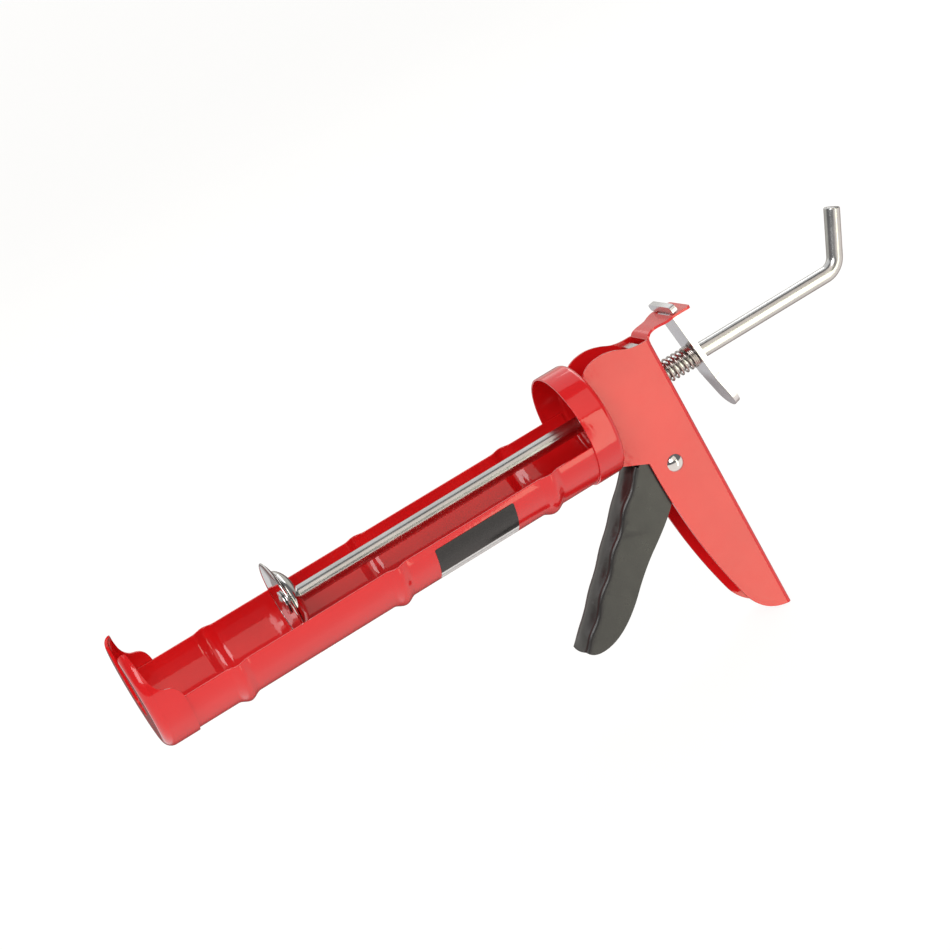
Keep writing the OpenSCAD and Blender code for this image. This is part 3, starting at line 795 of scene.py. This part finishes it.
def lever():
    half, head, tail = LEVER_W / 2, HEAD_W / 2, LEVER_W / 2 - 0.4
    tip = LEVER_BEND - TAIL_LEN
    right = [(tail, tip + tail + 0.2), (tail, LEVER_BEND - 1.2)]
    right += [(half, LEVER_BEND + 0.6), (half, HEAD_LOW - 0.8)]
    right += arc(half + 0.8, HEAD_LOW - 0.8, 0.8, 180, 90, 5)
    right += arc(head - 0.7, HEAD_LOW + 0.7, 0.7, -90, 0, 5)
    right += arc(head - 1.9, HEAD_TOP - 1.9, 1.9, 0, 90, 9)
    left = [(-y, s) for y, s in reversed(right)]
    outline = right + left + arc(0, tip + tail, tail, 180, 360, 36)
    bm = pattern(outline, [circle(0, -LEVER_T / 2 * math.tan(LEVER_LEAN), ROD_R + 0.85, 48)])
    bend_top = LEVER_BEND + BEND_RUN / 2
    cut(bm, 1, [bend_top - BEND_RUN * k / FOLD_CUTS for k in range(FOLD_CUTS + 1)])
    mapped(bm, lever_point)
    piece(
        "lever_blade", bm, "release_lever", ZINC, ["release_lever"],
        out=lambda p: Vector((1, 0, 0)), sheet=LEVER_T, bevel=0.5, segs=4,
    )


lever()


# ---------------------------------------------------------------- rod and plunger
def dome(r, h, n=8):
    """(height, radius) points of a shallow dome from its edge to its crown."""
    sphere = (r * r + h * h) / (2 * h)
    start = math.asin(r / sphere)
    angles = [start * (1 - i / n) for i in range(n + 1)]
    return [(h - sphere + sphere * math.cos(a), sphere * math.sin(a)) for a in angles]


def rod():
    """Peened head, stud, shoulder, straight rod, bend and hooked leg, as rings about a line."""
    hook_x, hook_len, angle, bend = -152.0, 28.6, math.radians(68), 9.0
    run = bend * math.tan(angle / 2)
    shoulder, head_x = SEAT_X - 0.15, SEAT_X + DISC_T + WASHER_GAP + WASHER_T
    line = [(head_x + h, r) for h, r in reversed(dome(4.0, 1.2))]
    line += [(head_x, 3.9), (head_x, STUD_R), (shoulder, STUD_R)]
    line += [(shoulder, 3.5), (shoulder - 0.3, ROD_R)]
    start = hook_x + run
    line += [(x, ROD_R) for x in np.linspace(shoulder - 4, start, 24)]
    rows = [((x, 0.0), 0.0, r) for x, r in line]  # centre (x, z), tangent angle, radius
    bend_steps = 28
    for k in range(1, bend_steps + 1):
        a = angle * k / bend_steps
        rows.append(((start - bend * math.sin(a), bend - bend * math.cos(a)), a, ROD_R))
    end = np.array([start - bend * math.sin(angle), bend - bend * math.cos(angle)])
    way = np.array([-math.cos(angle), math.sin(angle)])
    leg = hook_len - run
    round_r = 0.9
    for d in (leg * 0.3, leg * 0.6, leg - round_r - 0.3):
        rows.append((tuple(end + way * d), angle, ROD_R))
    for k in range(7):
        t = math.pi / 2 * k / 6
        d = leg - round_r + round_r * math.sin(t)
        rows.append((tuple(end + way * d), angle, ROD_R - round_r + round_r * math.cos(t)))
    rows.append((tuple(end + way * leg), angle, ROD_R * 0.4))
    rows.append((tuple(end + way * leg), angle, 0.0))
    round_about = circle(0, 0, 1, 72)
    rings = []
    for (cx, cz), a, r in rows:
        nx, nz = math.sin(a), math.cos(a)
        rings.append([(cx + r * c * nx, r * s, cz + r * c * nz) for c, s in round_about])
    piece("rod_bar", grid(rings, wrap_cols=True), "rod", ROD, ["rod"])


rod()


def plunger():
    """Dished disc, domed cup behind it and washer ahead of it, as (x, radius) profiles."""
    r, px, seat, t = PLUNGER_R, PLUNGER_X, SEAT_X, DISC_T
    flat, hole = 12.5, STUD_R + 0.1  # radii of the disc's flat middle and its hole
    disc = [(seat, hole), (seat, 6.0)]
    disc += [(x, q) for q, x in curve((flat, seat), (r - 3, seat + 0.2), (r, px - 0.5), 20)]
    angles = np.linspace(0, math.pi, 10)
    disc += [(px - 0.5 + 0.5 * math.sin(a), r - 0.45 + 0.45 * math.cos(a)) for a in angles]
    slope = curve((r - 0.95, px - 0.3), (r - 3.6, seat + t + 0.3), (flat, seat + t), 20)
    disc += [(x, q) for q, x in slope]
    disc += [(seat + t, q) for q in (flat, 11.6, 9.8, 6.4, hole)]
    dish = lathe(disc, segs=128)
    piece("plunger_dish", dish, "plunger", PRESSED, ["plunger_disc"], angle=50)
    sheet, dome_r, depth = 1.1, 14.6, 5.4
    base = seat - 0.1
    crown = base - depth
    hole = ROD_R + 0.06
    hub = [(crown + 0.25, hole), (crown, hole + 0.25), (crown, 5.2)]
    outside = curve((5.2, crown), (10.2, crown + 0.2), (13.2, crown + 3), 18)[1:]
    outside += curve((13.2, crown + 3), (dome_r, base - 1.2), (dome_r, base - 0.2), 10)
    hub += [(x, q) for q, x in outside]
    hub += [(base - 0.2, dome_r), (base, dome_r - 0.2), (base, 13.2)]
    inside = curve((13, base - 0.8), (9.6, crown + 0.2 + sheet), (5.2, crown + sheet), 14)
    hub += [(x, q) for q, x in inside]
    hub += [(crown + sheet, 5.2), (crown + sheet, hole)]
    cup = lathe(hub, segs=128)
    piece("plunger_dome", cup, "plunger", PRESSED, ["plunger_hub"], angle=50)
    x = seat + t + WASHER_GAP
    end, hole, rim, edge = x + WASHER_T, STUD_R + 0.02, 5.6, 0.2
    washer = [(x, hole), (x, rim - edge), (x + edge, rim)]
    washer += [(end - edge, rim), (end, rim - edge), (end, hole)]
    ring = lathe(washer, segs=64)
    piece("plunger_ring", ring, "rod", ZINC, ["plunger_washer"], angle=50)


plunger()


# ---------------------------------------------------------------- pivot and collar rivets
def rivets():
    """The trigger's pivot with its washer, and the four rivets through the collar."""
    shank, far_y = 2.5, -HALF - WASHER_T
    near = [(HALF + h, r) for h, r in dome(4.1, 2.1, 14)]
    far = [(far_y - h, r) for h, r in dome(3.7, 1.5, 10)]
    profile = list(reversed(near)) + [(HALF, 3.95), (HALF, shank)]
    profile += [(far_y, shank), (far_y, 3.55)] + far
    bm = lathe(profile, closed=False, segs=72, axis="y", at=(PIVOT[0], 0, PIVOT[1]))
    piece("pivot_pin", bm, "frame", PRESSED, ["pivot_rivet"])
    y0, y1 = far_y, -HALF - 0.02
    ring = [(y0, 2.53), (y0, 4.95), (y0 + 0.2, 5.2), (y1 - 0.2, 5.2), (y1, 4.95), (y1, 2.53)]
    bm = lathe(ring, segs=64, axis="y", at=(PIVOT[0], 0, PIVOT[1]))
    piece("pivot_ring", bm, "frame", ZINC, ["pivot_washer"], angle=50)
    rear, front, shank = FRAME_FRONT - SHEET, -COLLAR_DEPTH + END_PLATE, 1.58
    parts = []
    for y in (-RIVET_Y, RIVET_Y):
        for z in (-RIVET_Z, RIVET_Z):
            ahead = [(front + h, r) for h, r in dome(2.8, 0.9, 8)]
            behind = [(rear - h, r) for h, r in dome(2.8, 0.9, 8)]
            line = list(reversed(ahead)) + [(front, shank), (rear, shank)] + behind
            parts.append(lathe(line, closed=False, segs=36, at=(0, y, z)))
    piece("collar_studs", join(*parts), "frame", RED, ["collar_rivets"])


rivets()


# ---------------------------------------------------------------- drive plates
def drive_plates():
    """Three gripping plates round the rod, seen through the frame's open top."""
    half, low, top, corner, t, rear_x = 8.4, -9.5, 18.7, 2.5, 1.3, -47.55
    outline = rounded(-half, half, low, top, corner)
    for i, name in enumerate(("rear", "middle", "front")):
        x = rear_x + i * (t + SEAM_GAP)
        bm = mapped(pattern(outline, [circle(0, 0, ROD_HOLE, 48)]), lambda u, v: (x, u, v))
        piece(
            f"grip_plate_{name}", bm, "drive_plates", ZINC, [f"drive_plate_{name}"],
            out=lambda p: Vector((-1, 0, 0)), sheet=t, bevel=0.18,
        )


drive_plates()


# ---------------------------------------------------------------- springs
def helix(x0, x1, mean_r, wire, turns, tilt0=0.0, tilt1=0.0, ends=(0.75, 0.75)):
    """Wire wound round the rod from x0 to x1.

    ends says how many turns lie close together at each end, and the tilts lean the end turns on
    the faces they touch.
    """
    n, close = int(turns * 30), 0.32  # the close turns' pitch as a share of the others'
    share = []
    for i in range(n + 1):
        k = turns * i / n
        share.append(close if k < ends[0] or k > turns - ends[1] else 1.0)
    run = np.concatenate([[0.0], np.cumsum(share[1:])])
    run /= run[-1]
    points = []
    for i in range(n + 1):
        t, a = run[i], 2 * math.pi * turns * i / n
        tilt = tilt0 + (tilt1 - tilt0) * t
        x = x0 + (x1 - x0) * t + tilt * mean_r * math.cos(a)
        points.append((x, mean_r * math.sin(a), mean_r * math.cos(a)))
    return tube(points, wire, 14)


drive = piece("spring_drive", helix(-42.75, -14.85, 6.1, 0.62, 8), None, ZINC)
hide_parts("drive_spring")
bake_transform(drive)

brake = piece(
    "spring_brake",
    helix(-53.15, -69.72, 5.2, 0.48, 8.4, LEAN, math.tan(LEVER_LEAN), ends=(0.5, 2.4)),
    None, WIRE,
)
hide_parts("brake_spring")
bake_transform(brake)


# ---------------------------------------------------------------- label
def label():
    """Film wrapped on the cradle's near wall; v runs down along the wall."""
    r, corner = CRADLE_OUT + 0.03, 0.8
    v0, v1 = (r * math.radians(a) for a in LABEL_BELOW)
    bm = pattern(rounded(*LABEL_X, v0, v1, corner, 6))
    cut(bm, 1, np.linspace(v0, v1, 38)[1:-1])
    mapped(bm, lambda u, v: (u, r * math.cos(v / r), -r * math.sin(v / r)))
    piece(
        "side_label", bm, "frame", LABEL, ["label"],
        out=lambda p: Vector((0, p.y, p.z)), sheet=LABEL_FILM, offset=1.0, bevel=0.05, segs=2,
    )


label()


# ---------------------------------------------------------------- floor, light and camera, in m
FLOOR_SIZE, FLOOR_GAP = 400.0, 0.0005

# The room's light by direction, as linear RGB. FLOOR is its lower half, back and front. A bright
# panel lies where the handle, the collar and the rod reflect it; its limits are x / y and z / y
# of the direction.
ROOM_LIGHT = (0.18, 0.18, 0.185)
WALL_LIGHT = (0.60, 0.59, 0.55)
FLOOR_BACK = ((0.16, 0.10, 0.095), (0.78, 0.78, 0.79))
FLOOR_FRONT = (1.08, 1.0, 0.95)
PANEL_LIGHT = (3.2, 3.2, 2.55)
PANEL_U = (-0.60, -0.328)
PANEL_W = (-1.12, 0.40)
# y where the lower half turns from back to front, and x between the back's two tones
FLOOR_TURN, FLOOR_BACK_X = (-0.75, 0.1), (0.10, 0.22)
# y and z between which the back wall fades out
WALL_Y, WALL_Z = (-0.45, -0.25), (0.45, 0.60)

# softboxes: place, size and power, and a tint for some; all of them face the middle of the part
MIDDLE = (0.03, 0, -0.03)
SOFTBOXES = {
    "light_top": ((0.1, -1.10, 1.67), (3.5, 2.45), 19),
    "light_front": ((-0.3, 1.19, 1.19), (1.5, 1.29), 5.3, (1.05, 0.93, 0.82)),
    "light_key": ((0.9, 1.3, 1.25), (1.1, 1.1), 18),
    "light_back": ((-1.2, -0.9, 1.2), (1.2, 0.8), 7),
}

# camera: place, view direction, roll in degrees, lens and sensor in mm, shift
CAMERA_AT, CAMERA_WAY, CAMERA_ROLL = (0.2739, 0.8869, 0.2786), (-0.245, -0.925, -0.290), -26.85
LENS, SENSOR, SHIFT = 82.44, 36.0, (-0.0183, 0.0005)


def stage():
    """Plain pale floor, half a millimetre under the part. Gloss does not see it."""
    lo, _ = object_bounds()
    bm = bmesh.new()
    bmesh.ops.create_grid(bm, x_segments=16, y_segments=16, size=FLOOR_SIZE)
    mesh = bpy.data.meshes.new("floor")
    bm.to_mesh(mesh)
    bm.free()
    ob = bpy.data.objects.new("floor", mesh)
    ob.location.z = lo.z - FLOOR_GAP
    bpy.context.scene.collection.objects.link(ob)
    n = Nodes("pale_floor")
    n.set(Specular_IOR_Level=0.2, Emission_Color=(1, 0.995, 0.985, 1), Emission_Strength=0.93)
    drift = n.range(n.noise(3, 2), 0, 1)
    n.to("Base Color", n.mix(drift, (0.095, 0.095, 0.095), (0.105, 0.105, 0.104)))
    n.to("Roughness", n.range(n.noise(40, 3), 0.75, 0.85))
    mesh.materials.append(n.mat)
    ob.visible_glossy = False
    ob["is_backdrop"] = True


def softbox(name, at, size, watts, tint=(1, 1, 1)):
    """Rectangular light at a place, turned to the middle of the part."""
    data = bpy.data.lights.new(name, "AREA")
    data.shape, data.size, data.size_y, data.energy = "RECTANGLE", size[0], size[1], watts
    data.color = tint
    ob = bpy.data.objects.new(name, data)
    ob.location = at
    ob.rotation_mode = "QUATERNION"
    ob.rotation_quaternion = (Vector(MIDDLE) - Vector(at)).to_track_quat("-Z", "Y")
    bpy.context.scene.collection.objects.link(ob)


class Room(Nodes):
    """The world's node tree, read by direction alone."""

    def __init__(self, name):
        world = bpy.data.worlds.new(name)
        world.use_nodes = True
        world.cycles.sampling_method = "NONE"
        bpy.context.scene.world = world
        self.tree = world.node_tree
        self.coord = self.tree.nodes.new("ShaderNodeTexCoord").outputs["Generated"]


def studio():
    """An even grey room, whose lower half has what gloss sees instead of the floor."""
    n = Room("studio")
    x, y, z = n.separate()
    back = n.mix(n.range(x, 0, 1, *FLOOR_BACK_X), *FLOOR_BACK)
    lower = n.mix(n.range(y, 0, 1, *FLOOR_TURN), back, FLOOR_FRONT)
    wall = n.math("MULTIPLY", n.range(y, 1, 0, *WALL_Y), n.range(z, 1, 0, *WALL_Z))
    upper = n.mix(wall, ROOM_LIGHT, WALL_LIGHT)
    room = n.mix(n.range(z, 1, 0, -0.02, 0.0), upper, lower)
    u, w = n.math("DIVIDE", x, y), n.math("DIVIDE", z, y)
    panel = n.range(y, 0, 1, 0, 0.01)
    for value, limit, soft, ends in (
        (u, PANEL_U[1], 0.006, (1, 0)), (u, PANEL_U[0], 0.05, (0, 1)),
        (w, PANEL_W[0], 0.05, (0, 1)), (w, PANEL_W[1], 0.01, (1, 0)),
    ):
        panel = n.math("MULTIPLY", panel, n.range(value, *ends, limit - soft, limit + soft))
    n.link(n.mix(panel, room, PANEL_LIGHT), n.tree.nodes["Background"].inputs["Color"])


def camera():
    """The photo's camera, fitted to its outlines."""
    d = Vector(CAMERA_WAY).normalized()
    right = d.cross(Vector((0, 0, 1))).normalized()
    up = right.cross(d)
    roll = math.radians(CAMERA_ROLL)
    side = right * math.cos(roll) + up * math.sin(roll)
    top = up * math.cos(roll) - right * math.sin(roll)
    data = bpy.data.cameras.new("camera")
    data.lens, data.sensor_width = LENS, SENSOR
    data.shift_x, data.shift_y = SHIFT
    data.clip_start, data.clip_end = 0.01, 100
    ob = bpy.data.objects.new("camera", data)
    ob.matrix_world = Matrix((
        (side.x, top.x, -d.x, CAMERA_AT[0]),
        (side.y, top.y, -d.y, CAMERA_AT[1]),
        (side.z, top.z, -d.z, CAMERA_AT[2]),
        (0, 0, 0, 1),
    ))
    bpy.context.scene.collection.objects.link(ob)
    bpy.context.scene.camera = ob


stage()
studio()
for name, settings in SOFTBOXES.items():
    softbox(name, *settings)
camera()
bpy.context.scene.view_settings.view_transform = "Standard"
